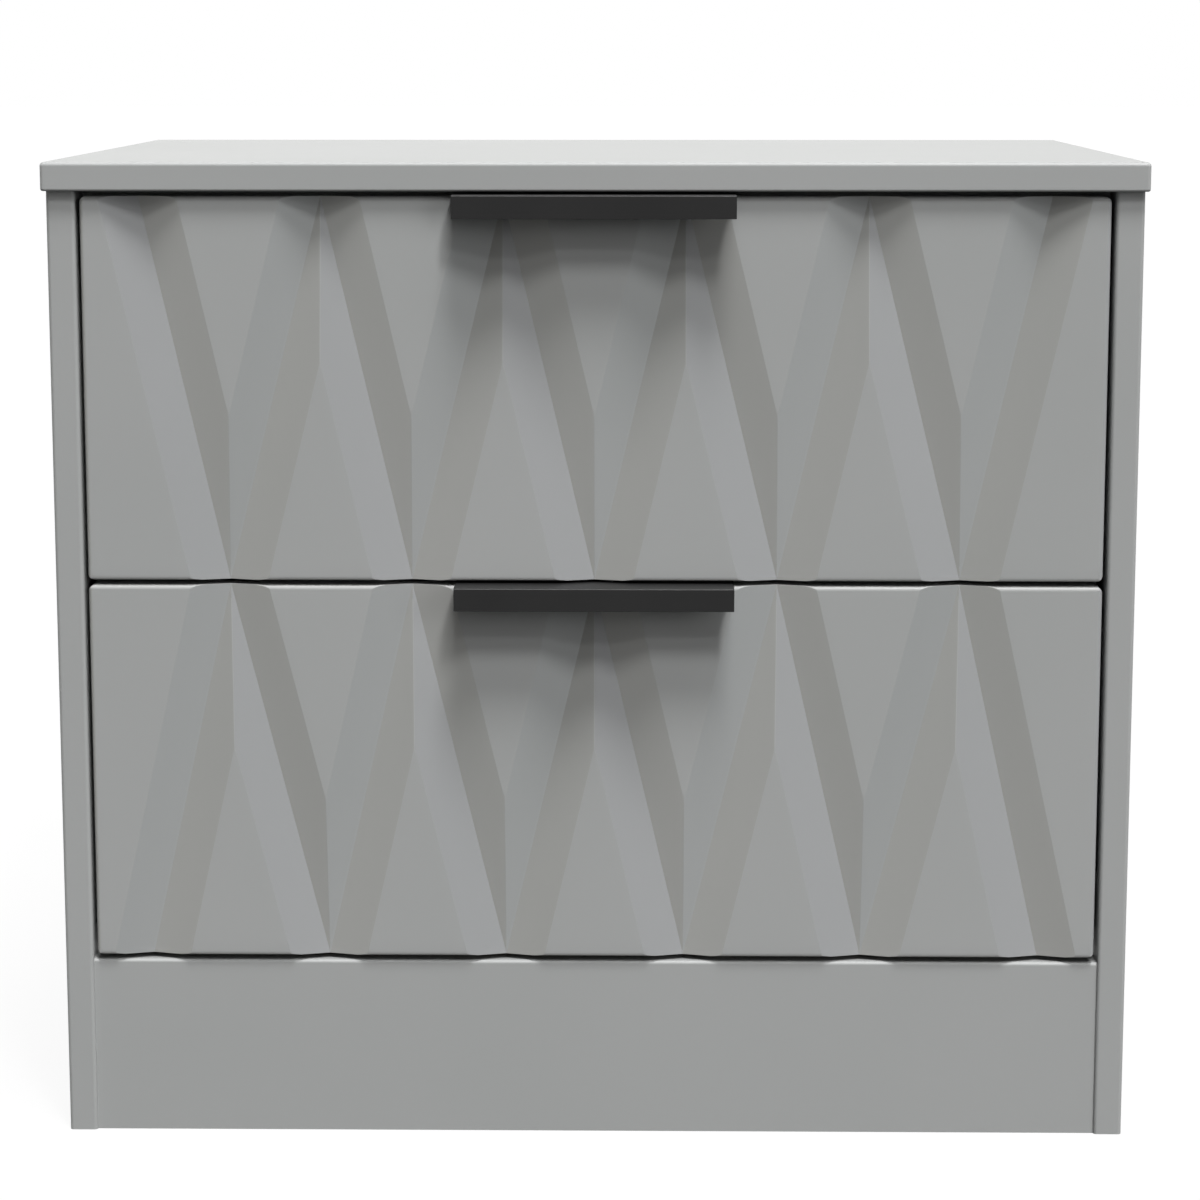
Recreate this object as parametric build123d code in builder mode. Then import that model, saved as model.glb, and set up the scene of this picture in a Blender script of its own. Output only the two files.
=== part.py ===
from build123d import *
import os

os.makedirs("parts", exist_ok=True)

# Cabinet, in millimetres: X to the right, Y into the depth, Z up from the floor
height = 522.0
top_width = 574.4
top_depth = 417.0
board = 15.0
side_overhang = 2.2
front_overhang = 4.0
edge_round = 2.0
under_round = 1.2
plinth_height = 95.5
plinth_recess = 2.0
block_size = 20.0
block_height = 70.0
rail_depth = 60.0
rail_room = 5.5
bottom_rail_height = 80.0

# Hardboard back in its rebate
back_thickness = 3.0
back_rebate = 8.0
back_lift = 20.0

# Drawer fronts and the gaps around them
front_thickness = 18.0
front_side_gap = 2.15
front_level_gap = 2.7
front_round = 2.4

# Zigzag of V-grooves between the two long edges of a front
groove_depth = 6.0
groove_half_width = 20.0
five_nodes = 5
five_node_margin = 75.0
six_nodes = 6
six_node_margin = 30.0
groove_overrun = 40.0

# Handle, a strip bent over the top edge of a front
handle_length = 147.0
handle_reach = 17.5
handle_lip = 12.0
handle_leg = 14.0
handle_sheet = 1.2
handle_bend = 0.6
handle_screw_inset = 20.0

# Drawer box
box_side = 12.0
box_rise = 16.0
box_top_drop = 45.7
box_rear_room = 16.8
base_thickness = 3.0
base_rise = 14.0
base_groove = 5.0

# Roller runners
runner_gap = 12.5
runner_shortfall = 10.0
runner_sheet = 1.2
runner_lift_room = 1.2
runner_box_seat = 5.0
runner_side_room = 0.8
cabinet_runner_setback = 2.0
drawer_runner_setback = 1.0
roller_radius = 10.2
roller_chamfer = 0.8
front_roller_inset = 18.0
rear_roller_inset = 45.0
roller_track_room = 0.3
roller_flange_room = 0.5
roller_stand_off = 1.0
roller_stop_gap = 0.6
roller_pin_radius = 2.0
roller_pin_head_radius = 3.2
roller_pin_head = 1.0

# Dowels, screws and pins
dowel_radius = 4.0
dowel_long = 20.0
dowel_inset = 15.0
dowel_chamfer = 0.8
top_dowel_count = 3
small_dowel_radius = 3.0
small_dowel_long = 16.5
box_joint_inset = 30.0
blind_cover = 4.0
screw_slot = 0.7
pan_head_radius = 3.2
pan_head = 1.3
pan_shank_radius = 1.6
runner_screw_count = 3
runner_screw_first = 45.0
runner_screw_last = 20.0
sunk_head_radius = 4.0
sunk_head = 2.4
sunk_shank_radius = 2.0
top_screw_count = 3
top_screw_inset = 60.0
back_screw_bite = 23.0
pin_head_radius = 1.5
pin_head = 0.6
pin_shank_radius = 0.7
pin_length = 15.0
pin_spacing = 110.0
base_pin_count = 5

# Room left in holes, grooves and rebates
fit = 0.05
end_room = 0.4
groove_room = 0.2
edge_room = 0.5

# Levels and widths that follow from the sizes above
carcass_half = top_width / 2 - side_overhang
inner_half = carcass_half - board
top_under = height - board
front_width = 2 * (inner_half - front_side_gap)
fronts_and_gaps = top_under - plinth_height
front_height = (fronts_and_gaps - 3 * front_level_gap) / 2
lower_front_bottom = plinth_height + front_level_gap
upper_front_bottom = lower_front_bottom + front_height + front_level_gap
box_half = inner_half - runner_gap
box_inner_half = box_half - box_side
box_height = front_height - box_rise - box_top_drop

# Depths, with the middle of the whole depth, handles included, at Y = 0
side_depth = top_depth - front_overhang
handle_ahead = max(handle_reach, front_overhang)
side_front = (handle_ahead - side_depth) / 2
side_rear = side_front + side_depth
top_front = side_front - front_overhang
face = side_front
front_back = face + front_thickness
back_face = side_rear - back_thickness - groove_room
box_rear = back_face - board - box_rear_room
rail_front = front_back + handle_sheet + pan_head + rail_room
plinth_front = side_front + plinth_recess
base_front = front_back - base_groove + edge_room

# Lengths of fasteners, each leaving the same cover in the board that it ends in
dowel_short = board - blind_cover
small_dowel_short = front_thickness - groove_depth - blind_cover
handle_screw_length = handle_sheet + small_dowel_short
cabinet_screw_length = runner_sheet + board - blind_cover
box_screw_length = runner_sheet + box_side - blind_cover
top_screw_length = 2 * board - blind_cover
back_screw_length = box_side + back_screw_bite

# Widths inside a runner, measured from the cabinet side
runner_flange = runner_gap - runner_sheet - runner_side_room
drawer_flange_tip = runner_sheet + pan_head + runner_side_room
roller_width = runner_gap - runner_sheet - roller_stand_off - drawer_flange_tip

# Heights inside a runner, measured from the bottom of the cabinet channel
rear_roller_level = runner_sheet + roller_track_room + roller_radius
drawer_flange_level = rear_roller_level + roller_radius + roller_flange_room
front_roller_level = drawer_flange_level - roller_track_room - roller_radius
channel_height = drawer_flange_level + runner_sheet + runner_lift_room + runner_sheet

# Places along a runner, and the travel that the rollers leave
runner_length = box_rear - front_back - runner_shortfall
cabinet_runner_front = front_back + cabinet_runner_setback
drawer_runner_front = front_back + drawer_runner_setback
front_roller_y = cabinet_runner_front + front_roller_inset
rear_roller_y = drawer_runner_front + runner_length - rear_roller_inset
travel = rear_roller_y - front_roller_y - 2 * roller_radius - roller_stop_gap

HANDS = {"left": -1, "right": 1}
FRONT_BOTTOMS = {"upper": upper_front_bottom, "lower": lower_front_bottom}
FROM_BASE = (Align.CENTER, Align.CENTER, Align.MIN)
FROM_CORNER = (Align.MIN, Align.MIN, Align.MIN)


def finish(part, name):
    """Label a finished piece and write it out."""
    part.label = name
    export_step(part, f"parts/{name}.step")


def block(corner, opposite, mode=Mode.ADD):
    """A box between two opposite corners, given in any order."""
    low = tuple(min(pair) for pair in zip(corner, opposite))
    size = [abs(a - b) for a, b in zip(corner, opposite)]
    with Locations(low):
        Box(*size, align=FROM_CORNER, mode=mode)


def holes(spots, radius, depth):
    """Round holes bored from each spot along its own Z."""
    with Locations(*spots):
        Cylinder(radius, depth, align=FROM_BASE, mode=Mode.SUBTRACT)


def spread(first, last, count):
    """Evenly spaced values from first to last."""
    return [first + (last - first) * i / (count - 1) for i in range(count)]


def group(name, blank, spots):
    """Copies of one fastener at every spot, as one node of separate solids."""
    with BuildPart() as copies:
        with Locations(*spots):
            add(blank)
    finish(copies.part, name)


def cross_slot(level):
    """Cut the driver's cross into a screw head whose top is at this level."""
    for length, width in ((sunk_head_radius, screw_slot), (screw_slot, sunk_head_radius)):
        with Locations((0, 0, level)):
            Box(length, width, 2 * screw_slot, mode=Mode.SUBTRACT)


def pan_screw(length):
    """A pan-head screw driven along +Z, with the underside of its head at the origin."""
    with BuildPart() as screw:
        with Locations((0, 0, -pan_head)):
            Cylinder(pan_head_radius, pan_head, align=FROM_BASE)
        fillet(screw.edges().sort_by(Axis.Z)[0], radius=pan_head / 2)
        Cylinder(pan_shank_radius, length, align=FROM_BASE)
        cross_slot(-pan_head)
    return screw.part


def sunk_screw(length):
    """A countersunk screw driven along +Z, with the top of its head at the origin."""
    with BuildPart() as screw:
        Cone(sunk_head_radius, sunk_shank_radius, sunk_head, align=FROM_BASE)
        Cylinder(sunk_shank_radius, length, align=FROM_BASE)
        cross_slot(0)
    return screw.part


def panel_pin():
    """A panel pin driven along +Z, with the top of its flat head at the origin."""
    with BuildPart() as pin:
        Cylinder(pin_head_radius, pin_head, align=FROM_BASE)
        Cylinder(pin_shank_radius, pin_length, align=FROM_BASE)
    return pin.part


def dowel(radius, short, long):
    """A dowel that straddles the origin, short end behind it and long end ahead."""
    with BuildPart() as peg:
        with Locations((0, 0, -short)):
            Cylinder(radius, short + long, align=FROM_BASE)
        chamfer(peg.edges(), length=dowel_chamfer)
    return peg.part


def pan_holes(spots, length):
    """Holes for pan-head screws, right through whatever the shank meets."""
    holes(spots, pan_shank_radius + fit, length + end_room)


def sunk_holes(spots, length):
    """Countersunk holes for screws whose heads lie flush."""
    holes(spots, sunk_shank_radius + fit, length + end_room)
    with Locations(*spots):
        Cone(
            sunk_head_radius + fit, sunk_shank_radius + fit, sunk_head, align=FROM_BASE, mode=Mode.SUBTRACT
        )


def pin_holes(spots):
    """Holes for panel pins whose heads lie flush."""
    holes(spots, pin_shank_radius + fit, pin_length + end_room)
    holes(spots, pin_head_radius + fit, pin_head + fit)


def dowel_holes(spots, radius, short, long):
    """Blind holes on both sides of a dowelled joint."""
    behind = [spot.offset(-short - end_room) for spot in spots]
    holes(behind, radius + fit, short + long + 2 * end_room)


# Dowels of the carcass, each spot on the joint with Z pointing into the end that takes the long part
def rail_dowel_spots(hand):
    """Two dowels at each end of the rails and the plinth."""
    x = hand * inner_half
    mid_rail = top_under - board / 2
    mid_plinth = plinth_front + board / 2
    mid_bottom_rail = back_face - board / 2
    places = [(rail_front + side, mid_rail) for side in (dowel_inset, rail_depth - dowel_inset)]
    places += [(back_face - side, mid_rail) for side in (dowel_inset, rail_depth - dowel_inset)]
    places += [(mid_plinth, z) for z in (dowel_inset, plinth_height - dowel_inset)]
    places += [(mid_bottom_rail, z) for z in (dowel_inset, bottom_rail_height - dowel_inset)]
    return [Plane((x, y, z), z_dir=(-hand, 0, 0)) for y, z in places]


def top_dowel_spots(hand):
    """Three dowels from each side panel up into the top."""
    x = hand * (inner_half + board / 2)
    depths = spread(rail_front + rail_depth / 2, back_face - rail_depth / 2, top_dowel_count)
    return [Plane((x, y, top_under), z_dir=(0, 0, -1)) for y in depths]


def channel_bottom(level):
    """Underside of the cabinet channels that carry one drawer."""
    return FRONT_BOTTOMS[level] + box_rise - runner_box_seat


def box_bottom(level):
    """Lower edge of a drawer's sides."""
    return FRONT_BOTTOMS[level] + box_rise


def cabinet_screw_spots(level, hand):
    """Screws from inside a cabinet channel into the side panel."""
    x = hand * (inner_half - runner_sheet)
    z = channel_bottom(level) + channel_height / 2
    rear = cabinet_runner_front + runner_length - runner_screw_last
    depths = spread(cabinet_runner_front + runner_screw_first, rear, runner_screw_count)
    return [Plane((x, y, z), z_dir=(hand, 0, 0)) for y in depths]


def box_runner_screw_spots(level, hand):
    """Screws through a drawer runner into the drawer side."""
    x = hand * (box_half + runner_sheet)
    z = channel_bottom(level) + (runner_box_seat + drawer_flange_level) / 2
    rear = drawer_runner_front + runner_length - runner_screw_last
    depths = spread(drawer_runner_front + runner_screw_first, rear, runner_screw_count)
    return [Plane((x, y, z), z_dir=(-hand, 0, 0)) for y in depths]


def top_screw_spots():
    """Screws from under both top rails up into the top panel."""
    z = top_under - board
    xs = spread(-inner_half + top_screw_inset, inner_half - top_screw_inset, top_screw_count)
    ys = (rail_front + rail_depth / 2, back_face - rail_depth / 2)
    return [Plane((x, y, z), z_dir=(0, 0, 1)) for x in xs for y in ys]


def back_pin_spots():
    """Pins through the back panel into the sides, the rear top rail and the bottom rail."""
    y = back_face + back_thickness
    count = round((top_under - back_lift) / pin_spacing) + 1
    levels = spread(bottom_rail_height + pin_spacing / 2, top_under - 2 * board, count)
    places = [(hand * (inner_half + back_rebate / 2), z) for hand in HANDS.values() for z in levels]
    across = round(2 * inner_half / pin_spacing)
    xs = spread(-inner_half + pin_spacing / 2, inner_half - pin_spacing / 2, across)
    middle_of_rails = (top_under - board / 2, (back_lift + bottom_rail_height) / 2)
    places += [(x, z) for x in xs for z in middle_of_rails]
    return [Plane((x, y, z), z_dir=(0, -1, 0)) for x, z in places]


rail_dowels = [spot for hand in HANDS.values() for spot in rail_dowel_spots(hand)]
top_dowels = [spot for hand in HANDS.values() for spot in top_dowel_spots(hand)]
top_screws = top_screw_spots()
back_pins = back_pin_spots()

# Top panel, rounded on every edge, a little less underneath
with BuildPart() as top_panel:
    block((-top_width / 2, top_front, top_under), (top_width / 2, side_rear, height))
    under_edges = top_panel.edges().group_by(Axis.Z)[0]
    fillet(top_panel.edges() - under_edges, radius=edge_round)
    fillet(top_panel.faces().sort_by(Axis.Z)[0].edges(), radius=under_round)
    dowel_holes(top_dowels, dowel_radius, dowel_short, dowel_long)
    sunk_holes(top_screws, top_screw_length)
finish(top_panel.part, "top_panel")


# Side panels, rounded at the front and rebated at the rear for the back panel
for side_name, side_hand in HANDS.items():
    with BuildPart() as side_panel:
        block(
            (side_hand * inner_half, side_front, 0),
            (side_hand * carcass_half, side_rear, top_under),
        )
        front_edges = side_panel.edges().filter_by(Axis.Z).group_by(Axis.Y)[0]
        fillet(front_edges, radius=edge_round)
        block(
            (side_hand * inner_half, back_face, 0),
            (side_hand * (inner_half + back_rebate), side_rear, top_under),
            mode=Mode.SUBTRACT,
        )
        dowel_holes(rail_dowel_spots(side_hand), dowel_radius, dowel_short, dowel_long)
        dowel_holes(top_dowel_spots(side_hand), dowel_radius, dowel_short, dowel_long)
        for level_name in FRONT_BOTTOMS:
            pan_holes(cabinet_screw_spots(level_name, side_hand), cabinet_screw_length)
        pin_holes(back_pins)
    finish(side_panel.part, f"{side_name}_side_panel")

# Plinth board between the sides, rounded along its upper front edge
with BuildPart() as plinth:
    block((-inner_half, plinth_front, 0), (inner_half, plinth_front + board, plinth_height))
    upper_edges = plinth.edges().filter_by(Axis.X).group_by(Axis.Z)[-1]
    fillet(upper_edges.sort_by(Axis.Y)[0], radius=edge_round)
    dowel_holes(rail_dowels, dowel_radius, dowel_short, dowel_long)
finish(plinth.part, "plinth")

# Glue blocks in the corners behind the plinth
with BuildPart() as plinth_blocks:
    for side_hand in HANDS.values():
        block(
            (side_hand * inner_half, plinth_front + board, 0),
            (side_hand * (inner_half - block_size), plinth_front + board + block_size, block_height),
        )
    inward_edges = plinth_blocks.edges().filter_by(Axis.Z).group_by(Axis.Y)[-1]
    chamfer(inward_edges.sort_by(Axis.X)[1:3], length=block_size / 2)
finish(plinth_blocks.part, "plinth_blocks")

# Rails that tie the sides together and carry the top
for rail_name, rail_y in {
    "front_top_rail": rail_front,
    "rear_top_rail": back_face - rail_depth,
}.items():
    with BuildPart() as top_rail:
        block((-inner_half, rail_y, top_under - board), (inner_half, rail_y + rail_depth, top_under))
        dowel_holes(rail_dowels, dowel_radius, dowel_short, dowel_long)
        sunk_holes(top_screws, top_screw_length)
        pin_holes(back_pins)
    finish(top_rail.part, rail_name)

with BuildPart() as bottom_rail:
    block((-inner_half, back_face - board, 0), (inner_half, back_face, bottom_rail_height))
    dowel_holes(rail_dowels, dowel_radius, dowel_short, dowel_long)
    pin_holes(back_pins)
finish(bottom_rail.part, "rear_bottom_rail")

# Hardboard back, pinned into the rebates and onto the rails
back_half = inner_half + back_rebate - edge_room
with BuildPart() as back_panel:
    block((-back_half, back_face, back_lift), (back_half, back_face + back_thickness, top_under - edge_room))
    pin_holes(back_pins)
finish(back_panel.part, "back_panel")

group("back_pins", panel_pin(), back_pins)
group("top_screws", sunk_screw(top_screw_length), top_screws)
group("carcass_dowels", dowel(dowel_radius, dowel_short, dowel_long), rail_dowels + top_dowels)


def strip(hand, near, far, low, high):
    """A rectangle of a runner's section, by distance from the cabinet side and by height."""
    with Locations((hand * (inner_half - (near + far) / 2), (low + high) / 2)):
        Rectangle(far - near, high - low)


def cabinet_runner(level, hand):
    """A steel channel screwed to the inside of a side panel."""
    bottom = channel_bottom(level)
    top = bottom + channel_height
    with BuildPart() as runner:
        with BuildSketch(Plane.XZ.offset(-cabinet_runner_front - runner_length)):
            strip(hand, 0, runner_sheet, bottom, top)
            strip(hand, 0, runner_flange, bottom, bottom + runner_sheet)
            strip(hand, 0, runner_flange, top - runner_sheet, top)
        extrude(amount=runner_length)
        pan_holes(cabinet_screw_spots(level, hand), cabinet_screw_length)
        holes([front_pin_spot(level, hand)], roller_pin_radius + fit, roller_width)
    return runner.part


def drawer_runner(level, hand):
    """A steel strip under a drawer side, with a flange that rides on the front roller."""
    bottom = channel_bottom(level)
    seat = bottom + runner_box_seat
    flange = bottom + drawer_flange_level
    web = runner_gap - runner_sheet
    with BuildPart() as runner:
        with BuildSketch(Plane.XZ.offset(-drawer_runner_front - runner_length)):
            strip(hand, web, runner_gap, seat - runner_sheet, flange + runner_sheet)
            strip(hand, web, runner_gap + box_side, seat - runner_sheet, seat)
            strip(hand, drawer_flange_tip, runner_gap, flange, flange + runner_sheet)
        extrude(amount=runner_length)
        pan_holes(box_runner_screw_spots(level, hand), box_screw_length)
        holes([rear_pin_spot(level, hand)], roller_pin_radius + fit, roller_width)
    return runner.part


def front_pin_spot(level, hand):
    """Where a front roller's pin leaves the side panel, pointing into the cabinet."""
    z = channel_bottom(level) + front_roller_level
    return Plane((hand * inner_half, front_roller_y, z), z_dir=(-hand, 0, 0))


def rear_pin_spot(level, hand):
    """Where a rear roller's pin leaves the drawer side, pointing out to the channel."""
    z = channel_bottom(level) + rear_roller_level
    return Plane((hand * box_half, rear_roller_y, z), z_dir=(hand, 0, 0))


def roller():
    """A roller along +Z that stands off a runner's web, with a recess for its pin's head."""
    with BuildPart() as wheel:
        with Locations((0, 0, runner_sheet + roller_stand_off)):
            Cylinder(roller_radius, roller_width, align=FROM_BASE)
        chamfer(wheel.edges(), length=roller_chamfer)
        holes([Plane.XY], roller_pin_radius + fit, runner_gap)
        recess = Plane.XY.offset(runner_sheet + roller_stand_off + roller_width - roller_pin_head - 2 * fit)
        holes([recess], roller_pin_head_radius + end_room, runner_gap)
    return wheel.part


def roller_pin():
    """A riveted pin along +Z: shank through the web, shoulder beside it, head in the roller."""
    head_level = runner_sheet + roller_stand_off + roller_width - roller_pin_head
    with BuildPart() as pin:
        Cylinder(roller_pin_radius, head_level, align=FROM_BASE)
        with Locations((0, 0, head_level)):
            Cylinder(roller_pin_head_radius, roller_pin_head, align=FROM_BASE)
        with Locations((0, 0, runner_sheet)):
            Cylinder(roller_pin_head_radius, roller_stand_off - 2 * fit, align=FROM_BASE)
    return pin.part


def place(name, blank, spot):
    """One copy of a finished shape at a spot, as a node of its own."""
    with BuildPart() as copy:
        with Locations(spot):
            add(blank)
    finish(copy.part, name)


# Runners and rollers on both sides of both drawers
pairs = [(level, hand) for level in FRONT_BOTTOMS for hand in HANDS]
for level_name, side_name in pairs:
    side_hand = HANDS[side_name]
    finish(cabinet_runner(level_name, side_hand), f"{level_name}_{side_name}_cabinet_runner")
    finish(drawer_runner(level_name, side_hand), f"{level_name}_{side_name}_drawer_runner")
    place(f"{level_name}_{side_name}_front_roller", roller(), front_pin_spot(level_name, side_hand))
    place(f"{level_name}_{side_name}_rear_roller", roller(), rear_pin_spot(level_name, side_hand))

cabinet_screws = [spot for level, hand in pairs for spot in cabinet_screw_spots(level, HANDS[hand])]
group("cabinet_runner_screws", pan_screw(cabinet_screw_length), cabinet_screws)
group("cabinet_roller_pins", roller_pin(), [front_pin_spot(level, HANDS[hand]) for level, hand in pairs])


def groove_nodes(level):
    """The zigzag's corners in turn along one front, as points of its face."""
    bottom = FRONT_BOTTOMS[level]
    edges = (bottom + front_height, bottom) if level == "upper" else (bottom, bottom + front_height)
    six_half = front_width / 2 - six_node_margin
    five_half = front_width / 2 - five_node_margin
    six = [(x, edges[0]) for x in spread(-six_half, six_half, six_nodes)]
    five = [(x, edges[1]) for x in spread(-five_half, five_half, five_nodes)]
    return sorted(six + five)


def box_dowel_spots(level, hand):
    """Two dowels from the back of the front into the end of a drawer side."""
    x = hand * (box_half - box_side / 2)
    bottom = box_bottom(level)
    levels = (bottom + box_joint_inset, bottom + box_height - box_joint_inset)
    return [Plane((x, front_back, z), z_dir=(0, 1, 0)) for z in levels]


def back_screw_spots(level, hand):
    """Two screws through a drawer side into the end of the drawer's back."""
    y = box_rear - box_side / 2
    bottom = box_bottom(level)
    levels = (bottom + box_joint_inset + base_rise, bottom + box_height - box_joint_inset)
    return [Plane((hand * box_half, y, z), z_dir=(-hand, 0, 0)) for z in levels]


def base_pin_spots(level):
    """Pins up through the base into the drawer's back."""
    y = box_rear - box_side / 2
    xs = spread(-box_inner_half + box_joint_inset, box_inner_half - box_joint_inset, base_pin_count)
    return [Plane((x, y, box_bottom(level) + base_rise), z_dir=(0, 0, 1)) for x in xs]


def handle_screw_spots(level):
    """Screws through the handle's rear leg into the back of the front."""
    z = FRONT_BOTTOMS[level] + front_height - handle_leg / 2
    reach = handle_length / 2 - handle_screw_inset
    return [Plane((x, front_back + handle_sheet, z), z_dir=(0, -1, 0)) for x in (-reach, reach)]


def cut_base_groove(level, corner, opposite):
    """Cut the slot that takes the base, between two corners in plan."""
    low = box_bottom(level) + base_rise - groove_room / 2
    high = low + base_thickness + groove_room
    block((*corner, low), (*opposite, high), mode=Mode.SUBTRACT)


def drawer_front(level):
    """A front with rounded edges and ten straight V-grooves that meet at its long edges."""
    bottom = FRONT_BOTTOMS[level]
    flare = 1 + front_round / groove_depth
    nodes = groove_nodes(level)
    with BuildPart() as front:
        block((-front_width / 2, face, bottom), (front_width / 2, front_back, bottom + front_height))
        outer_edges = front.faces().sort_by(Axis.Y)[0].edges() + front.edges().filter_by(Axis.Y)
        fillet(outer_edges, radius=front_round)
        for start, end in zip(nodes, nodes[1:]):
            run = Vector(end[0] - start[0], 0, end[1] - start[1])
            along = run.normalized()
            across = Vector(-along.Z, 0, along.X)
            begin = Vector(start[0], face, start[1]) - along * groove_overrun
            with BuildSketch(Plane(begin, x_dir=across, z_dir=along)):
                with BuildLine():
                    Polyline(
                        (-groove_half_width * flare, front_round),
                        (0, -groove_depth),
                        (groove_half_width * flare, front_round),
                        close=True,
                    )
                make_face()
            extrude(amount=run.length + 2 * groove_overrun, mode=Mode.SUBTRACT)
        base_half = box_inner_half + base_groove
        cut_base_groove(level, (-base_half, front_back - base_groove), (base_half, front_back))
        for hand in HANDS.values():
            dowel_holes(
                box_dowel_spots(level, hand), small_dowel_radius, small_dowel_short, small_dowel_long
            )
        pan_holes(handle_screw_spots(level), handle_screw_length)
    return front.part


def drawer_side(level, hand):
    """A drawer side, grooved inside for the base."""
    bottom = box_bottom(level)
    inside = hand * box_inner_half
    with BuildPart() as side:
        block((inside, front_back, bottom), (hand * box_half, box_rear, bottom + box_height))
        cut_base_groove(level, (inside, front_back), (inside + hand * base_groove, box_rear))
        dowel_holes(box_dowel_spots(level, hand), small_dowel_radius, small_dowel_short, small_dowel_long)
        sunk_holes(back_screw_spots(level, hand), back_screw_length)
        pan_holes(box_runner_screw_spots(level, hand), box_screw_length)
    return side.part


def drawer_back(level):
    """A drawer back that stands on the base between the sides."""
    bottom = box_bottom(level)
    base_top = bottom + base_rise + base_thickness
    with BuildPart() as back:
        block(
            (-box_inner_half, box_rear - box_side, base_top),
            (box_inner_half, box_rear, bottom + box_height),
        )
        for hand in HANDS.values():
            sunk_holes(back_screw_spots(level, hand), back_screw_length)
        pin_holes(base_pin_spots(level))
    return back.part


def drawer_base(level):
    """A hardboard base that slides in along the grooves and under the back."""
    low = box_bottom(level) + base_rise
    half = box_inner_half + base_groove - edge_room
    with BuildPart() as base:
        block((-half, base_front, low), (half, box_rear, low + base_thickness))
        pin_holes(base_pin_spots(level))
    return base.part


def handle(level):
    """A bent strip: lip in front, plate over the top edge of the front, leg down its back."""
    seat = FRONT_BOTTOMS[level] + front_height
    top = seat + handle_sheet
    lip = face - handle_reach
    leg = front_back + handle_sheet
    with BuildPart() as pull:
        with BuildSketch(Plane.YZ.offset(-handle_length / 2)) as section:
            with BuildLine():
                Polyline(
                    (lip, top - handle_lip),
                    (lip, top),
                    (leg, top),
                    (leg, seat - handle_leg),
                    (front_back, seat - handle_leg),
                    (front_back, seat),
                    (lip + handle_sheet, seat),
                    (lip + handle_sheet, top - handle_lip),
                    close=True,
                )
            make_face()
            fillet(section.vertices().group_by(Axis.Y)[-1], radius=handle_bend)
        extrude(amount=handle_length)
        pan_holes(handle_screw_spots(level), handle_screw_length)
    return pull.part


# Both drawers, piece by piece
for level_name in FRONT_BOTTOMS:
    drawer = f"{level_name}_drawer"
    finish(drawer_front(level_name), f"{drawer}_front")
    for side_name, side_hand in HANDS.items():
        finish(drawer_side(level_name, side_hand), f"{drawer}_{side_name}_side")
    finish(drawer_back(level_name), f"{drawer}_back")
    finish(drawer_base(level_name), f"{drawer}_base")
    finish(handle(level_name), f"{level_name}_handle")
    group(f"{level_name}_handle_screws", pan_screw(handle_screw_length), handle_screw_spots(level_name))
    joint_dowels = [spot for hand in HANDS.values() for spot in box_dowel_spots(level_name, hand)]
    small_dowel = dowel(small_dowel_radius, small_dowel_short, small_dowel_long)
    group(f"{drawer}_dowels", small_dowel, joint_dowels)
    joint_screws = [spot for hand in HANDS.values() for spot in back_screw_spots(level_name, hand)]
    group(f"{drawer}_back_screws", sunk_screw(back_screw_length), joint_screws)
    group(f"{drawer}_base_pins", panel_pin(), base_pin_spots(level_name))
    runner_screws = [spot for hand in HANDS.values() for spot in box_runner_screw_spots(level_name, hand)]
    group(f"{drawer}_runner_screws", pan_screw(box_screw_length), runner_screws)
    axles = [rear_pin_spot(level_name, hand) for hand in HANDS.values()]
    group(f"{drawer}_roller_pins", roller_pin(), axles)

print("drawer travel", round(travel, 3), "mm; roller radius", roller_radius, "mm")
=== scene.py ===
import math

import bmesh
import bpy
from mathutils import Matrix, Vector


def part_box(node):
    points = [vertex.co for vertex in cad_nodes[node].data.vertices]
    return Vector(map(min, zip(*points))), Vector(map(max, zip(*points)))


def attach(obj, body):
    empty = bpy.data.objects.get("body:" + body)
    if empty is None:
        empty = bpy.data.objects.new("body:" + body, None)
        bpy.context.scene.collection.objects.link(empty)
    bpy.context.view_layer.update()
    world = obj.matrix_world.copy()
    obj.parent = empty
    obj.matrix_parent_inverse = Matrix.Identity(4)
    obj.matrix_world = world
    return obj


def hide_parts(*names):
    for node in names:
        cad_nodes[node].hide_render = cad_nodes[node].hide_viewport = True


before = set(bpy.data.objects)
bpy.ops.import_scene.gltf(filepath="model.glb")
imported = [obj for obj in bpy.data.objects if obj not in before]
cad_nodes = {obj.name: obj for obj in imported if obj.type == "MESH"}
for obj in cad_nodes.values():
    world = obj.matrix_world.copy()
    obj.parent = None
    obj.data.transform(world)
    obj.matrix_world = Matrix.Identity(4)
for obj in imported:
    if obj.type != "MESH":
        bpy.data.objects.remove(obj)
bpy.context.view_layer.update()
levels = ("upper", "lower")

# Drawer fronts, in metres: a rounded board with a zigzag of V-grooves
front_round = 0.0024
corner_round = 0.004
round_steps = 10
groove_depth = 0.006
groove_half_width = 0.020
groove_overrun = 0.040
five_nodes, five_node_margin = 5, 0.075
six_nodes, six_node_margin = 6, 0.030
slot_room = 0.0001
slot_end_room = 0.0005

# The slants that ease a front's lower rim: height, setback and lean in degrees
rim_height = 0.0021
rim_slants = ((rim_height, 0.0, 8), (0.00126, 0.00012, 14.6), (0.0007, 0.00026, 62))

# The rounding of the groove crests, and how far from the long edges it stops
crest_round = 0.0004
crest_steps = 3
crest_margin = 0.008
crest_degrees = 8

# Handles, a strip of sheet bent over the top edge of each front
handle_sheet = 0.0012
handle_lip = 0.012
handle_bend = 0.0006
bend_steps = 4
sheet_edge_round = 0.00022
sheet_edge_steps = 3
sheet_edge_degrees = 40

# Edges that turn by more than this many degrees are shaded sharp, and broad faces stay flat
front_sharp_degrees = 12
handle_sharp_degrees = 35
broad_face_weight = 100

# Room for rounding when a vertex is found by its place
near = 1e-5


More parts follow.
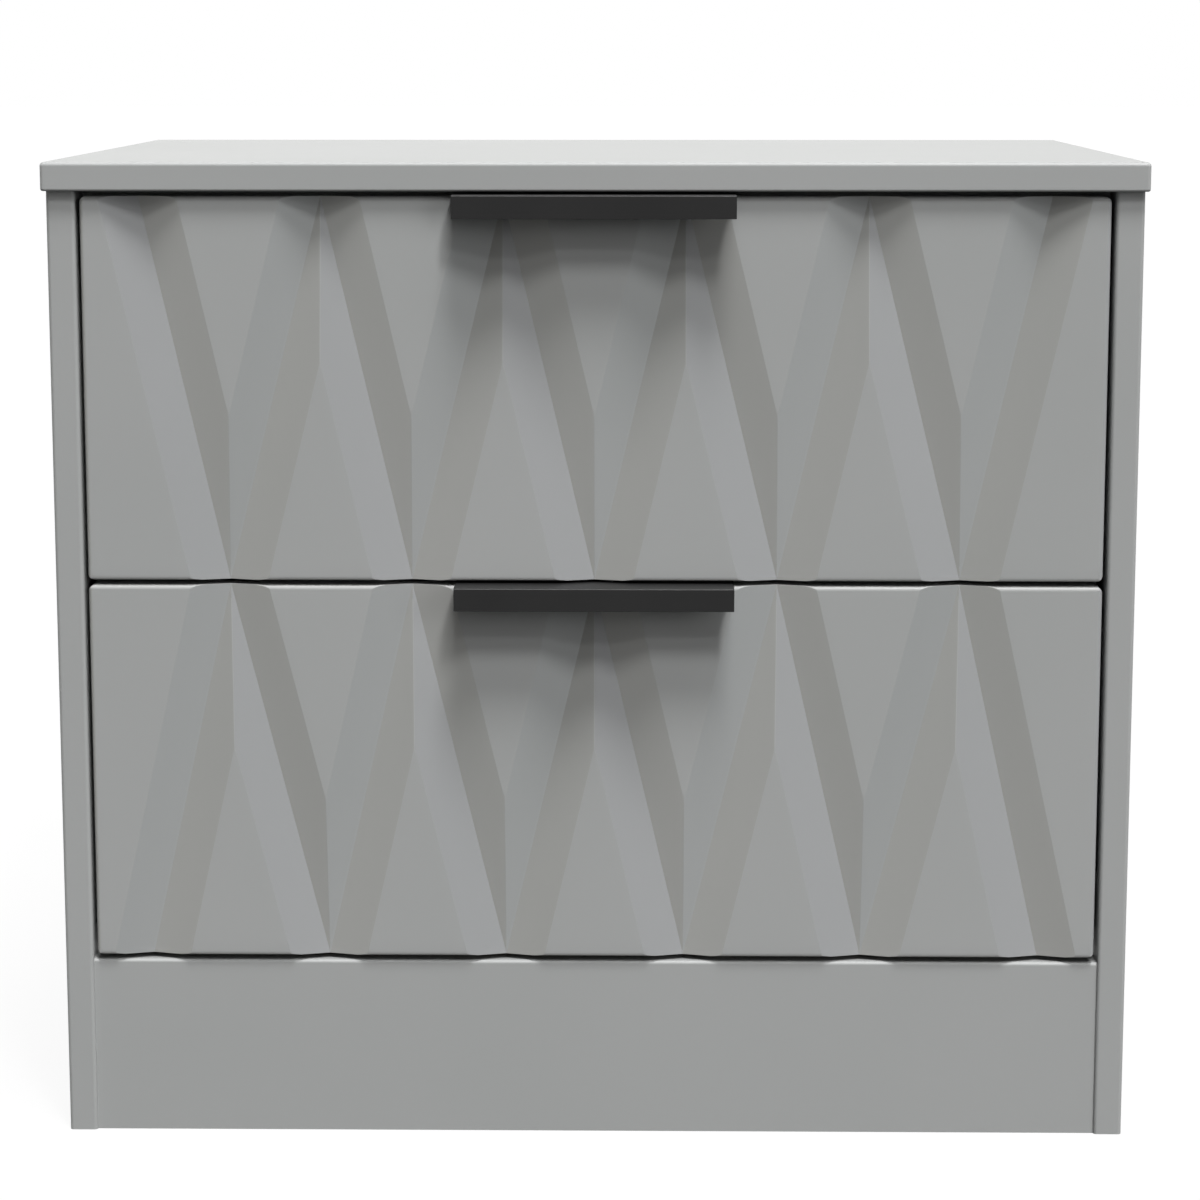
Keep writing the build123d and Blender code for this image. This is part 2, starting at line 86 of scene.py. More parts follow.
def select_only(piece):
    """Make one piece the only selected one, and the active one."""
    bpy.ops.object.select_all(action="DESELECT")
    piece.select_set(True)
    bpy.context.view_layer.objects.active = piece


def new_block(name, low, high):
    """A cube primitive stretched between two corners, its place in its mesh."""
    low, high = Vector(low), Vector(high)
    bpy.ops.object.select_all(action="DESELECT")
    bpy.ops.mesh.primitive_cube_add(size=1, location=(low + high) / 2, scale=high - low)
    block = bpy.context.object
    block.name = name
    bpy.ops.object.transform_apply(location=True, rotation=True, scale=True)
    return block


def pick(piece, kind, test):
    """Open a piece in edit mode with only the parts selected that pass the test."""
    select_only(piece)
    bpy.ops.object.mode_set(mode="EDIT")
    bpy.ops.mesh.select_mode(type=kind)
    bpy.ops.mesh.select_all(action="DESELECT")
    mesh = bmesh.from_edit_mesh(piece.data)
    parts = {"VERT": mesh.verts, "EDGE": mesh.edges, "FACE": mesh.faces}[kind]
    for part in parts:
        part.select_set(test(part))
    mesh.select_flush_mode()
    bmesh.update_edit_mesh(piece.data)


def leave_edit():
    """Close the piece that is open in edit mode."""
    bpy.ops.object.mode_set(mode="OBJECT")


def every(part):
    """A test that any part of a mesh passes."""
    return True


def runs_back(edge):
    """Whether an edge runs from the front to the back."""
    first, second = (vertex.co.y for vertex in edge.verts)
    return abs(first - second) > near


def round_edges(piece, test, width, steps):
    """Round the edges of a piece that pass the test."""
    pick(piece, "EDGE", test)
    bpy.ops.mesh.bevel(offset=width, segments=steps, profile=0.5, affect="EDGES")
    leave_edit()


def cut_along(piece, place, direction, **settings):
    """Cut a whole piece along the plane at a place, square to a direction."""
    pick(piece, "FACE", every)
    bpy.ops.mesh.bisect(plane_co=place, plane_no=direction, threshold=near, **settings)
    leave_edit()


def finish_with(piece, kind, **settings):
    """Add one modifier with these settings and apply it."""
    select_only(piece)
    step = piece.modifiers.new(kind.lower(), kind)
    for name, value in settings.items():
        setattr(step, name, value)
    bpy.ops.object.modifier_apply(modifier=step.name)


def carve(piece, cutter, operation="DIFFERENCE"):
    """Cut one shape out of a piece, or keep what lies inside it, and throw the cutter away."""
    finish_with(piece, "BOOLEAN", operation=operation, solver="EXACT", object=cutter)
    bpy.data.objects.remove(cutter)


def smooth(piece, degrees, sharp=None):
    """Soft shading over small angles, with broad faces kept flat and some edges kept sharp."""
    select_only(piece)
    bpy.ops.object.shade_smooth_by_angle(angle=math.radians(degrees))
    if sharp:
        pick(piece, "EDGE", sharp)
        bpy.ops.mesh.mark_sharp()
        leave_edit()
    finish_with(piece, "WEIGHTED_NORMAL", keep_sharp=True, weight=broad_face_weight)


def spread(first, last, count):
    """Evenly spaced values from first to last."""
    return [first + (last - first) * i / (count - 1) for i in range(count)]


def groove_nodes(level, low, high):
    """The zigzag's corners in turn along one front, as x and z."""
    six_z, five_z = (high.z, low.z) if level == "upper" else (low.z, high.z)
    six = spread(low.x + six_node_margin, high.x - six_node_margin, six_nodes)
    five = spread(low.x + five_node_margin, high.x - five_node_margin, five_nodes)
    corners = [Vector((x, six_z)) for x in six] + [Vector((x, five_z)) for x in five]
    return sorted(corners, key=lambda corner: corner.x)


def groove_wedge(start, end, face):
    """A long wedge whose thin edge lies along the bottom of one groove."""
    run = end - start
    half_length = run.length / 2 + groove_overrun
    half_width = groove_half_width * (1 + front_round / groove_depth)
    wedge = new_block(
        "groove_wedge",
        (-half_width, -front_round, -half_length),
        (half_width, groove_depth, half_length),
    )
    pick(wedge, "VERT", lambda vertex: vertex.co.y > 0)
    bpy.ops.transform.resize(value=(0, 1, 1))
    bpy.ops.mesh.remove_doubles(threshold=near)
    leave_edit()
    middle = (start + end) / 2
    wedge.location = (middle.x, face, middle.y)
    wedge.rotation_euler = (0, math.atan2(run.x, run.y), 0)
    bpy.ops.object.transform_apply(location=True, rotation=True, scale=True)
    return wedge


def base_slot(level, back_face):
    """The room that the drawer base takes in the back of the front."""
    low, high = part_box(f"{level}_drawer_base")
    room = Vector((slot_end_room, slot_end_room, slot_room))
    far_corner = Vector((high.x, back_face + slot_end_room, high.z))
    return new_block("base_slot", low - room, far_corner + room)


def corner_block(low, high):
    """A block round a board, its four corners rounded as seen from the front."""
    room = Vector((near, front_round, near))
    block = new_block("corner_block", low - room, high + room)
    round_edges(block, runs_back, corner_round, round_steps)
    return block


def drawer_front(level):
    """A board rounded at its rim and corners, grooved, with the groove crests softened."""
    low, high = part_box(f"{level}_drawer_front")
    front = new_block(f"{level}_front_board", low, high)

    def on_rim(edge):
        first, second = (vertex.co for vertex in edge.verts)
        at_bottom = max(first.z, second.z) < low.z + near
        in_front = max(first.y, second.y) < low.y + near
        return in_front and not at_bottom or runs_back(edge)

    round_edges(front, on_rim, front_round, round_steps)

    # The lower rim is only eased, by three slants one below the other
    for height, setback, lean in rim_slants:
        tilt = math.radians(lean)
        place = (0, low.y + setback, low.z + height)
        direction = (0, -math.cos(tilt), -math.sin(tilt))
        cut_along(front, place, direction, use_fill=True, clear_outer=True)
    carve(front, corner_block(low, high), operation="INTERSECT")
    corners = groove_nodes(level, low, high)
    for start, end in zip(corners, corners[1:]):
        carve(front, groove_wedge(start, end, low.y))
    carve(front, base_slot(level, high.y))

    # The crests are rounded between two lines a little way in from the long edges
    lower_line, upper_line = low.z + crest_margin, high.z - crest_margin
    for line in (lower_line, upper_line):
        pick(front, "FACE", every)
        bpy.ops.mesh.remove_doubles(threshold=near)
        leave_edit()
        cut_along(front, (0, 0, line), (0, 0, 1))
    inner_left, inner_right = low.x + front_round + near, high.x - front_round - near
    valley = low.y + groove_depth + near

    def on_crest(edge):
        places = [vertex.co for vertex in edge.verts]
        between = all(lower_line - near < place.z < upper_line + near for place in places)
        ahead = all(inner_left < place.x < inner_right and place.y < valley for place in places)
        return between and ahead and edge.calc_face_angle_signed() > math.radians(crest_degrees)

    round_edges(front, on_crest, crest_round, crest_steps)

    def past_crests(edge):
        if not any(inner_left < vertex.co.x < inner_right for vertex in edge.verts):
            return False
        heights = [vertex.co.z for vertex in edge.verts]
        top, bottom = high.z - front_round, low.z + rim_height
        at_top = all(upper_line - near < height < top - near for height in heights)
        at_bottom = all(bottom + near < height < lower_line + near for height in heights)
        return at_top or at_bottom

    smooth(front, front_sharp_degrees, sharp=past_crests)
    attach(front, f"{level}_drawer")
    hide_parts(f"{level}_drawer_front")
    return front


def handle(level):
    """A flat strip folded down at the front and the back, given its thickness, its folds rounded."""
    low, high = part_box(f"{level}_handle")
    middle = (low + high) / 2
    bpy.ops.object.select_all(action="DESELECT")
    bpy.ops.mesh.primitive_plane_add(size=1, location=(middle.x, middle.y, high.z))
    pull = bpy.context.object
    pull.name = f"{level}_pull"
    pull.scale = (high.x - low.x, high.y - low.y, 1)
    bpy.ops.object.transform_apply(location=True, rotation=True, scale=True)
    for y, drop in ((low.y, handle_lip), (high.y, high.z - low.z)):
        pick(pull, "EDGE", lambda edge: all(abs(vertex.co.y - y) < near for vertex in edge.verts))
        bpy.ops.mesh.extrude_region_move(TRANSFORM_OT_translate={"value": (0, 0, -drop)})
        leave_edit()

    pick(pull, "FACE", every)
    bpy.ops.mesh.normals_make_consistent(inside=False)
    leave_edit()
    if pull.data.polygons[0].normal.z < 0:
        pull.data.flip_normals()
    finish_with(pull, "SOLIDIFY", thickness=handle_sheet, offset=-1, use_even_offset=True)

    def on_fold(edge):
        first, second = (vertex.co for vertex in edge.verts)
        at_top = min(first.z, second.z) > high.z - near
        return at_top and abs(first.x - second.x) > near

    round_edges(pull, on_fold, handle_bend, bend_steps)
    finish_with(
        pull,
        "BEVEL",
        width=sheet_edge_round,
        segments=sheet_edge_steps,
        limit_method="ANGLE",
        angle_limit=math.radians(sheet_edge_degrees),
    )
    smooth(pull, handle_sharp_degrees)
    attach(pull, f"{level}_drawer")
    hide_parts(f"{level}_handle")
    return pull


fronts = [drawer_front(level) for level in levels]
handles = [handle(level) for level in levels]

# Colours, each finish from one end of its range to the other
white = (1.0, 1.0, 1.0)
grey_coat = ((0.375, 0.384, 0.3805), (0.389, 0.396, 0.3935))
black_coat = ((0.0092, 0.0092, 0.0094), (0.0124, 0.0124, 0.0126))
grey_foil = ((0.39, 0.385, 0.37), (0.47, 0.465, 0.45))
pale_foil = ((0.41, 0.405, 0.39), (0.432, 0.427, 0.412))
pale_flakes = ((0.36, 0.25, 0.15), (0.60, 0.47, 0.32))
dark_flake, flake_dust = (0.17, 0.10, 0.055), (0.55, 0.44, 0.31)
brown_fibre = ((0.15, 0.088, 0.047), (0.30, 0.195, 0.115))
fibre_patch, fibre_speck = (0.21, 0.125, 0.07), (0.09, 0.05, 0.028)
beech = ((0.66, 0.48, 0.30), (0.48, 0.32, 0.18))
runner_coat = ((0.48, 0.475, 0.45), (0.52, 0.515, 0.495))
runner_scuff = (0.34, 0.34, 0.335)
nylon = ((0.66, 0.65, 0.61), (0.73, 0.72, 0.68))
zinc = ((0.52, 0.53, 0.54), (0.62, 0.62, 0.60))

# Painted light and shade on the groove walls, by the side they face and by whether they face up or
# down, with a faint warm tint on the left walls and a cool one on the right
left_up_painted_shade, left_down_painted_light = (0.943, 0.931, 0.906), (1.143, 1.128, 1.097)
right_up_painted_shade, right_down_painted_shade = (0.852, 0.852, 0.870), (0.970, 0.980, 0.986)

# Painted shade on the plinth's upper edge, which dims the highlight there
upper_edge_painted_shade = (0.60, 0.60, 0.60)

# Where most values of a soft noise lie, and a narrower part of it
wide_span, middle_span = (0.3, 0.7), (0.35, 0.65)

# How rough bare chipboard is, and its relief against the coat's
raw_roughness, raw_relief = 0.85, 8.0

# How much of the runners' coat a scuff takes away
scuff_share = 0.5

# How much slower a streak changes along a board than across it
streak_draw = 0.02

# Where a Mix node has its factor, its two colours and the colour that comes out
mix_factor, mix_first, mix_second, mix_result = 0, 6, 7, 2


def connect(tree, socket, value):
    """Link another node's output to a socket, or set the socket to a number or a colour."""
    if isinstance(value, bpy.types.NodeSocket):
        tree.links.new(value, socket)
    elif socket.type == "RGBA":
        socket.default_value = (*value, 1.0)
    else:
        socket.default_value = value


def add(tree, kind, **settings):
    """A new node with these settings."""
    node = tree.nodes.new(kind)
    for name, value in settings.items():
        setattr(node, name, value)
    return node


def feed(tree, node, **values):
    """Set or link a node's inputs by name, with underscores for spaces."""
    for name, value in values.items():
        connect(tree, node.inputs[name.replace("_", " ")], value)
    return node


def place_on_object(tree):
    """The surface's own place on the object."""
    return add(tree, "ShaderNodeTexCoord").outputs["Object"]


def stretched_place(tree, stretch=(1, 1, 1)):
    """The surface's own place on the object, stretched along X, Y and Z."""
    mapping = add(tree, "ShaderNodeMapping")
    feed(tree, mapping, Vector=place_on_object(tree), Scale=stretch)
    return mapping.outputs["Vector"]


def outward(tree):
    """The direction that the surface faces."""
    return add(tree, "ShaderNodeNewGeometry").outputs["Normal"]


def split(tree, vector):
    """The X, Y and Z of a vector."""
    return feed(tree, add(tree, "ShaderNodeSeparateXYZ"), Vector=vector).outputs


def noise(tree, where, scale, detail=2.0, roughness=0.5):
    """Soft noise, in features per metre."""
    node = add(tree, "ShaderNodeTexNoise")
    feed(tree, node, Vector=where, Scale=scale, Detail=detail, Roughness=roughness)
    return node.outputs["Fac"]


def remap(tree, value, span=(0.0, 1.0), to=(0.0, 1.0)):
    """A value taken from one span to another and held within it."""
    node = add(tree, "ShaderNodeMapRange")
    feed(tree, node, Value=value, From_Min=span[0], From_Max=span[1], To_Min=to[0], To_Max=to[1])
    return node.outputs["Result"]


def compute(tree, operation, first, second):
    """One step of arithmetic."""
    node = add(tree, "ShaderNodeMath", operation=operation)
    for socket, value in zip(node.inputs, (first, second)):
        connect(tree, socket, value)
    return node.outputs["Value"]


def blend(tree, factor, first, second, blend_type="MIX"):
    """A colour between two others, or the two multiplied."""
    node = add(tree, "ShaderNodeMix", data_type="RGBA", blend_type=blend_type)
    for socket, value in ((mix_factor, factor), (mix_first, first), (mix_second, second)):
        connect(tree, node.inputs[socket], value)
    return node.outputs[mix_result]


def new_group(name, inputs, outputs):
    """An empty node group with named number inputs and named outputs."""
    group = bpy.data.node_groups.new(name, "ShaderNodeTree")
    for label, value in inputs.items():
        socket = group.interface.new_socket(label, in_out="INPUT", socket_type="NodeSocketFloat")
        socket.default_value = value
    for label, kind in outputs.items():
        group.interface.new_socket(label, in_out="OUTPUT", socket_type=f"NodeSocket{kind}")
    return group, add(group, "NodeGroupInput").outputs, add(group, "NodeGroupOutput")


def use(tree, group, **values):
    """Place a node group in a material with its own values."""
    node = add(tree, "ShaderNodeGroup", node_tree=group)
    return feed(tree, node, **values).outputs


def coat_group():
    """Fine peel and slow clouding of a sprayed or wrapped coat."""
    group, given, result = new_group(
        "coat_skin", {"Peel Scale": 900.0, "Cloud Scale": 7.0}, {"Peel": "Float", "Cloud": "Float"}
    )
    where = stretched_place(group)
    peel = noise(group, where, given["Peel Scale"], detail=3.0, roughness=0.6)
    cloud = noise(group, where, given["Cloud Scale"], detail=4.0)
    feed(group, result, Peel=peel, Cloud=remap(group, cloud, wide_span))
    return group


def flake_group():
    """Pressed wood flakes, pale and dark, as on a sawn chipboard edge."""
    group, given, result = new_group(
        "wood_flakes", {"Flake Scale": 260.0}, {"Color": "Color", "Height": "Float"}
    )
    where = stretched_place(group, stretch=(1.0, 1.0, 2.2))
    cells = add(group, "ShaderNodeTexVoronoi")
    feed(group, cells, Vector=where, Scale=given["Flake Scale"])
    tone = feed(group, add(group, "ShaderNodeSeparateColor"), Color=cells.outputs["Color"]).outputs
    dust = noise(group, where, 1500.0, detail=3.0)
    pale = blend(group, tone["Red"], *pale_flakes)
    dark_share = remap(group, tone["Green"], span=(0.80, 0.92), to=(0.0, 0.6))
    flakes = blend(group, dark_share, pale, dark_flake)
    dust_share = remap(group, dust, span=(0.4, 0.8), to=(0.0, 0.35))
    dusty = blend(group, dust_share, flakes, flake_dust)
    feed(group, result, Color=dusty, Height=compute(group, "ADD", cells.outputs["Distance"], dust))
    return group


def streak_group():
    """Fine streaks along the length of a board, whichever way it lies in plan."""
    group, given, result = new_group("board_streaks", {"Streak Scale": 420.0}, {"Streak": "Float"})
    where = split(group, place_on_object(group))
    along = compute(group, "ADD", where["X"], where["Y"])
    long_place = add(group, "ShaderNodeCombineXYZ")
    feed(group, long_place, X=compute(group, "MULTIPLY", along, streak_draw), Y=where["Z"])
    streak = noise(
        group, long_place.outputs["Vector"], given["Streak Scale"], detail=5.0, roughness=0.6
    )
    feed(group, result, Streak=remap(group, streak, wide_span))
    return group


def facing_group():
    """One where the surface faces along the given direction, and nothing elsewhere."""
    group, given, result = new_group("facing", {"X": 0.0, "Y": 0.0, "Z": 1.0}, {"Mask": "Float"})
    direction = add(group, "ShaderNodeCombineXYZ")
    feed(group, direction, X=given["X"], Y=given["Y"], Z=given["Z"])
    likeness = add(group, "ShaderNodeVectorMath", operation="DOT_PRODUCT")
    group.links.new(outward(group), likeness.inputs[0])
    group.links.new(direction.outputs["Vector"], likeness.inputs[1])
    feed(group, result, Mask=remap(group, likeness.outputs["Value"], span=(0.98, 0.995)))
    return group


coat_skin = coat_group()
wood_flakes = flake_group()
board_streaks = streak_group()
facing = facing_group()


def new_material(name, **constants):
    """A material with one Principled shader, its even values set on the shader."""
    material = bpy.data.materials.new(name)
    material.use_nodes = True
    tree = material.node_tree
    shader = tree.nodes["Principled BSDF"]
    feed(tree, shader, **constants)
    return material, tree, shader


def relief(tree, shader, height, depth):
    """Press a height into a surface, depth in metres."""
    bump = add(tree, "ShaderNodeBump")
    feed(tree, bump, Height=height, Strength=1.0, Distance=depth)
    feed(tree, shader, Normal=bump.outputs["Normal"])


def paint_groove_light_and_shade(tree, colour):
    """The coat's colour, with painted light and shade on each kind of groove wall."""
    way = split(tree, outward(tree))
    to_right = remap(tree, way["X"], span=(-0.2, 0.2))
    to_top = remap(tree, way["Z"], span=(-0.05, 0.05))
    facing_down = blend(tree, to_right, left_down_painted_light, right_down_painted_shade)
    facing_up = blend(tree, to_right, left_up_painted_shade, right_up_painted_shade)
    ahead = use(tree, facing, Y=-1.0, Z=0.0)["Mask"]
    # Painted light and shade: flat faces keep the coat's colour, each kind of groove wall is made
    # lighter or darker
    tone = blend(tree, ahead, blend(tree, to_top, facing_down, facing_up), white)
    return blend(tree, 1.0, colour, tone, blend_type="MULTIPLY")


def paint_upper_edge_shade(tree, colour):
    """The coat's colour, darkened by painted shade on an edge that faces up."""
    to_top = remap(tree, split(tree, outward(tree))["Z"], span=(0.5, 0.95))
    # Painted shade, strongest where the edge faces straight up
    tone = blend(tree, to_top, white, upper_edge_painted_shade)
    return blend(tree, 1.0, colour, tone, blend_type="MULTIPLY")


def grey_finish(name, raw_edges=False, grooved=False, painted_edge_shade=False):
    """Satin grey coat over board: painted light and shade in the grooves, painted shade on an upper
    edge, bare on raw edges.
    """
    material, tree, shader = new_material(name, Specular_IOR_Level=0.20)
    skin = use(tree, coat_skin, Peel_Scale=850.0, Cloud_Scale=6.0)
    colour = blend(tree, skin["Cloud"], *grey_coat)
    roughness = remap(tree, skin["Cloud"], to=(0.40, 0.46))
    height = skin["Peel"]
    if grooved:
        # Painted light and shade on the groove walls
        colour = paint_groove_light_and_shade(tree, colour)
    if painted_edge_shade:
        # Painted shade on an upper edge, dimming its highlight
        colour = paint_upper_edge_shade(tree, colour)
    if raw_edges:
        flakes = use(tree, wood_flakes, Flake_Scale=240.0)
        behind = use(tree, facing, Y=1.0, Z=0.0)["Mask"]
        below = use(tree, facing, Z=-1.0)["Mask"]
        raw = compute(tree, "MAXIMUM", behind, below)
        colour = blend(tree, raw, colour, flakes["Color"])
        roughness = compute(tree, "MAXIMUM", roughness, compute(tree, "MULTIPLY", raw, raw_roughness))
        raw_height = compute(tree, "MULTIPLY", flakes["Height"], raw)
        height = compute(tree, "ADD", height, compute(tree, "MULTIPLY", raw_height, raw_relief))
    feed(tree, shader, Base_Color=colour, Roughness=roughness)
    relief(tree, shader, height, depth=0.000012)
    return material


def black_metal():
    """Black powder coat with a fine, even texture."""
    material, tree, shader = new_material("black_metal", Specular_IOR_Level=0.31)
    skin = use(tree, coat_skin, Peel_Scale=2200.0, Cloud_Scale=18.0)
    feed(tree, shader, Base_Color=blend(tree, skin["Cloud"], *black_coat))
    feed(tree, shader, Roughness=remap(tree, skin["Peel"], wide_span, to=(0.38, 0.50)))
    relief(tree, shader, skin["Peel"], depth=0.00003)
    return material


def raw_board():
    """Sawn chipboard, left bare where nobody looks."""
    material, tree, shader = new_material("raw_board", Specular_IOR_Level=0.2)
    flakes = use(tree, wood_flakes, Flake_Scale=200.0)
    feed(tree, shader, Base_Color=flakes["Color"])
    feed(tree, shader, Roughness=remap(tree, flakes["Height"], span=(0.3, 1.2), to=(0.78, 0.92)))
    relief(tree, shader, flakes["Height"], depth=0.00012)
    return material


def box_foil():
    """Grey linen foil on the drawer boxes, with a faint grain."""
    material, tree, shader = new_material("box_foil", Specular_IOR_Level=0.4)
    grain = use(tree, board_streaks, Streak_Scale=380.0)
    skin = use(tree, coat_skin, Peel_Scale=1200.0, Cloud_Scale=10.0)
    feed(tree, shader, Base_Color=blend(tree, grain["Streak"], *grey_foil))
    feed(tree, shader, Roughness=remap(tree, skin["Cloud"], to=(0.46, 0.56)))
    relief(tree, shader, grain["Streak"], depth=0.00002)
    return material


def hardboard(name, **faced_side):
    """Pressed brown fibre, with one side faced in pale foil."""
    material, tree, shader = new_material(name, Specular_IOR_Level=0.3)
    where = stretched_place(tree)
    fibre = noise(tree, where, 700.0, detail=6.0, roughness=0.7)
    patch = noise(tree, where, 24.0, detail=3.0)
    speck = noise(tree, where, 2600.0, detail=1.0)
    brown = blend(tree, remap(tree, fibre, wide_span), *brown_fibre)
    patched = blend(tree, remap(tree, patch, middle_span, to=(0.0, 0.3)), brown, fibre_patch)
    speck_share = remap(tree, speck, span=(0.62, 0.72), to=(0.0, 0.6))
    specked = blend(tree, speck_share, patched, fibre_speck)
    foil = blend(tree, remap(tree, patch, middle_span), *pale_foil)
    faced = use(tree, facing, **faced_side)["Mask"]
    feed(tree, shader, Base_Color=blend(tree, faced, specked, foil))
    feed(tree, shader, Roughness=remap(tree, faced, to=(0.78, 0.50)))
    bare = remap(tree, faced, to=(1.0, 0.1))
    relief(tree, shader, compute(tree, "MULTIPLY", fibre, bare), depth=0.00008)
    return material


def dowel_beech():
    """Beech with its short flecks."""
    material, tree, shader = new_material("dowel_beech", Specular_IOR_Level=0.3)
    fleck = noise(tree, stretched_place(tree, stretch=(0.15, 1.0, 1.0)), 1800.0, detail=3.0)
    feed(tree, shader, Base_Color=blend(tree, remap(tree, fleck, middle_span), *beech))
    feed(tree, shader, Roughness=remap(tree, fleck, wide_span, to=(0.62, 0.74)))
    relief(tree, shader, fleck, depth=0.00003)
    return material


def runner_steel():
    """Pale epoxy coat on rolled steel, scuffed where the rollers run."""
    material, tree, shader = new_material("runner_steel", Specular_IOR_Level=0.5)
    skin = use(tree, coat_skin, Peel_Scale=1300.0, Cloud_Scale=30.0)
    along_runner = stretched_place(tree, stretch=(6.0, 0.12, 6.0))
    scuff = noise(tree, along_runner, 260.0, detail=4.0, roughness=0.65)
    coat = blend(tree, skin["Cloud"], *runner_coat)
    upward = use(tree, facing, Z=1.0)["Mask"]
    worn = compute(tree, "MULTIPLY", remap(tree, scuff, span=(0.52, 0.68)), upward)
    scuffed = compute(tree, "MULTIPLY", worn, scuff_share)
    feed(tree, shader, Base_Color=blend(tree, scuffed, coat, runner_scuff))
    feed(tree, shader, Roughness=remap(tree, worn, to=(0.36, 0.52)))
    relief(tree, shader, skin["Peel"], depth=0.00003)
    return material


def roller_nylon():
    """Milky nylon with fine turning marks."""
    material, tree, shader = new_material("roller_nylon", Specular_IOR_Level=0.45)
    marks = noise(tree, stretched_place(tree, stretch=(14.0, 1.0, 1.0)), 300.0, detail=3.0)
    feed(tree, shader, Base_Color=blend(tree, remap(tree, marks, middle_span), *nylon))
    feed(tree, shader, Roughness=remap(tree, marks, wide_span, to=(0.36, 0.48)))
    relief(tree, shader, marks, depth=0.00002)
    return material


def zinc_steel():
    """Bright zinc plate with a cloudy bloom."""
    material, tree, shader = new_material("zinc_steel", Metallic=1.0)
    skin = use(tree, coat_skin, Peel_Scale=2400.0, Cloud_Scale=140.0)
    feed(tree, shader, Base_Color=blend(tree, skin["Cloud"], *zinc))
    feed(tree, shader, Roughness=remap(tree, skin["Peel"], wide_span, to=(0.26, 0.42)))
    relief(tree, shader, skin["Peel"], depth=0.00002)
    return material


def dress(pieces, material):
    """Give pieces one material all over."""
    for piece in pieces:
        piece.data.materials.clear()
        piece.data.materials.append(material)


def named(*words):
    """The CAD pieces whose names hold one of these words."""
    return [node for name, node in cad_nodes.items() if any(word in name for word in words)]


grey_front = grey_finish("grey_grooved_front", grooved=True)
grey_raw = grey_finish("grey_raw_edges", raw_edges=True)
grey_plinth = grey_finish("grey_plinth", raw_edges=True, painted_edge_shade=True)
dress(named("top_panel", "front_top_rail"), grey_finish("grey_finish"))
dress(fronts + named("drawer_front"), grey_front)
dress(named("side_panel"), grey_raw)
dress(named("plinth"), grey_plinth)
dress(handles + [cad_nodes[f"{level}_handle"] for level in levels], black_metal())
dress(named("rear_top_rail", "rear_bottom_rail", "plinth_blocks"), raw_board())
dress(named("drawer_left_side", "drawer_right_side", "drawer_back"), box_foil())
dress(named("drawer_base"), hardboard("base_hardboard", Z=1.0))
dress(named("back_panel"), hardboard("back_hardboard", Y=-1.0, Z=0.0))
dress(named("dowels"), dowel_beech())
dress(named("_runner"), runner_steel())
dress(named("_roller"), roller_nylon())
dress(named("screws", "pins"), zinc_steel())

# Studio: a pale floor, a white surround and soft lamps ahead of and above the piece
floor_size = 60.0
floor_shade, floor_glow = 0.05, 0.92
surround_left, surround_right = 0.043, 0.136
surround_tint = (1.0, 0.978, 0.958)
mirrored_level = 0.70

# The photograph's camera: place in metres, lens and sensor in millimetres, dip and turn in degrees
camera_place = (0.02913, -1.93986, 0.58152)
camera_lens, camera_sensor = 100.306, 36.0
camera_dip, camera_turn = 9.419, 0.8596


def eye_rays(tree):
    """How bright white is drawn: full straight ahead, less in a reflection, else not at all."""
    path = add(tree, "ShaderNodeLightPath").outputs
    mirrored = compute(tree, "MAXIMUM", path["Is Glossy Ray"], path["Is Transmission Ray"])
    mirrored = compute(tree, "MULTIPLY", mirrored, mirrored_level)
    return compute(tree, "MAXIMUM", path["Is Camera Ray"], mirrored)


def studio_floor():
    """White to the eye, pale in the object's shadow, and a dim bounce for everything else."""
    bpy.ops.object.select_all(action="DESELECT")
    bpy.ops.mesh.primitive_plane_add(size=floor_size)
    floor = bpy.context.object
    floor.name = "studio_floor"
    material, tree, shader = new_material(
        "studio_floor",
        Base_Color=(floor_shade, floor_shade, floor_shade),
        Roughness=0.9,
        Specular_IOR_Level=0.0,
        Emission_Color=white,
    )
    feed(tree, shader, Emission_Strength=compute(tree, "MULTIPLY", eye_rays(tree), floor_glow))
    floor.data.materials.append(material)


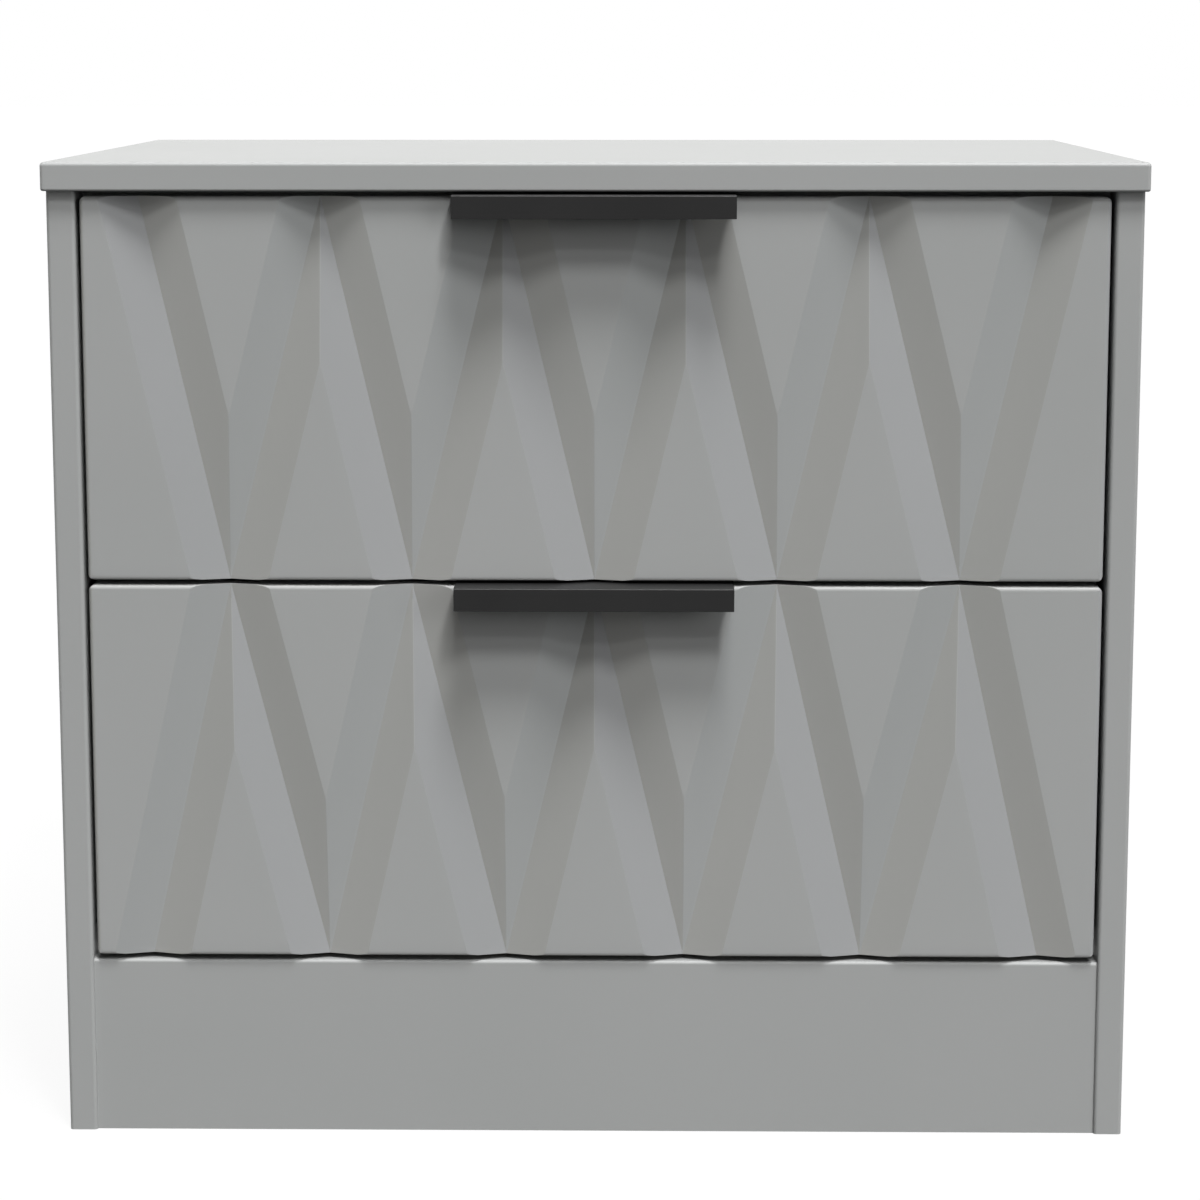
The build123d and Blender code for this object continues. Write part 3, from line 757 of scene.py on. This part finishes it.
def studio_surround():
    """Soft light from all round, more of it from the right, and white to the eye."""
    world = bpy.data.worlds.new("studio_surround")
    bpy.context.scene.world = world
    world.use_nodes = True
    tree = world.node_tree
    background = tree.nodes["Background"]
    way = split(tree, add(tree, "ShaderNodeTexCoord").outputs["Generated"])
    level = remap(tree, way["X"], span=(-1.0, 1.0), to=(surround_left, surround_right))
    straight = add(tree, "ShaderNodeLightPath").outputs["Is Camera Ray"]
    feed(tree, background, Color=blend(tree, straight, surround_tint, white))
    feed(tree, background, Strength=compute(tree, "MAXIMUM", eye_rays(tree), level))


def lamp(name, azimuth, elevation, width, strength, mirrored=True):
    """A far soft lamp: azimuth to the right of the front, elevation and width in degrees."""
    data = bpy.data.lights.new(name, "SUN")
    data.energy = strength
    data.angle = math.radians(width)
    light = bpy.data.objects.new(name, data)
    light.visible_glossy = mirrored
    light.rotation_euler = (math.radians(90 - elevation), 0, math.radians(azimuth))
    bpy.context.scene.collection.objects.link(light)


def photo_camera():
    """The photograph's own view, its lens and sensor set for a frame as wide as it is high."""
    data = bpy.data.cameras.new("photo_camera")
    data.sensor_width = camera_sensor
    data.lens = camera_lens
    camera = bpy.data.objects.new("photo_camera", data)
    camera.location = camera_place
    camera.rotation_euler = (math.radians(90 - camera_dip), 0, math.radians(camera_turn))
    bpy.context.scene.collection.objects.link(camera)
    bpy.context.scene.camera = camera


studio_floor()
studio_surround()
lamp("low_lamp", azimuth=45, elevation=16, width=30, strength=0.535, mirrored=False)
lamp("front_lamp", azimuth=20, elevation=42, width=6, strength=0.306)
lamp("middle_lamp", azimuth=23, elevation=52, width=6, strength=0.671)
lamp("upper_lamp", azimuth=23, elevation=56.5, width=6, strength=0.689)
lamp("overhead_lamp", azimuth=20, elevation=74, width=14, strength=3.366)
lamp("right_lamp", azimuth=60, elevation=65, width=20, strength=0.281)
lamp("left_lamp", azimuth=-25, elevation=75, width=16, strength=0.281)
lamp("left_rear_lamp", azimuth=-110, elevation=8, width=30, strength=1.2, mirrored=False)
lamp("right_rear_lamp", azimuth=140, elevation=8, width=30, strength=0.85, mirrored=False)
photo_camera()
bpy.context.scene.view_settings.view_transform = "Standard"
